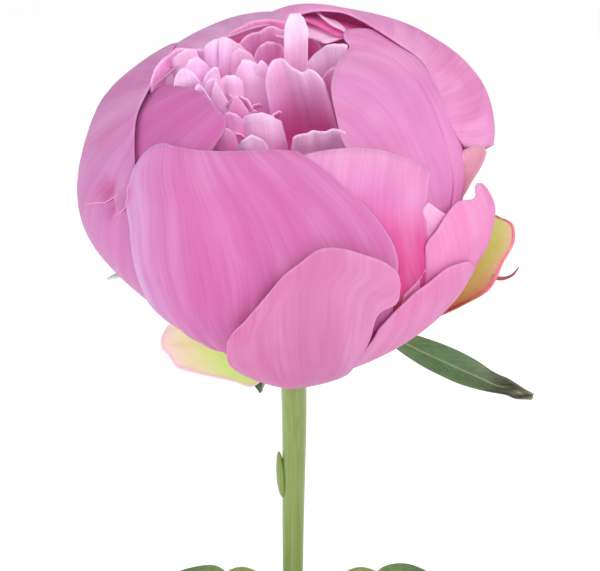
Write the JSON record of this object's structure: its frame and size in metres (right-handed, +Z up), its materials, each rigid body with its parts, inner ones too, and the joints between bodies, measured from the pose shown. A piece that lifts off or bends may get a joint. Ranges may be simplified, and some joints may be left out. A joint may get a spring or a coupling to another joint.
{
  "type": "cut peony in a bud vase",
  "caption": "Pink double peony, opening and nodding forward on a leafy green stem, standing in water in a plain clear glass bud vase, as a table or shelf decoration.",
  "frame": {"origin": "middle of the vase's foot, on the surface that it stands on", "axes": "+Z up through the vase; the bloom nods towards -Y, its front; +X is the right side seen from the front"},
  "size_m": [0.1142, 0.1076, 0.3214],
  "materials": {
    "glass": "clear, polished",
    "water": "clear liquid",
    "stem": "smooth, waxy",
    "sepals": "smooth, matte",
    "petals": "silky, finely veined",
    "leaves": "smooth, slightly glossy"
  },
  "bodies": {
    "root": {"vase": "glass", "water": "water", "stem": "stem", "calyx": "sepals", "bloom": "petals", "upper_leaf_right": "leaves", "upper_leaf_left": "leaves", "lower_leaf_left": "leaves", "lower_leaf_right": "leaves"}
  },
  "joints": []
}
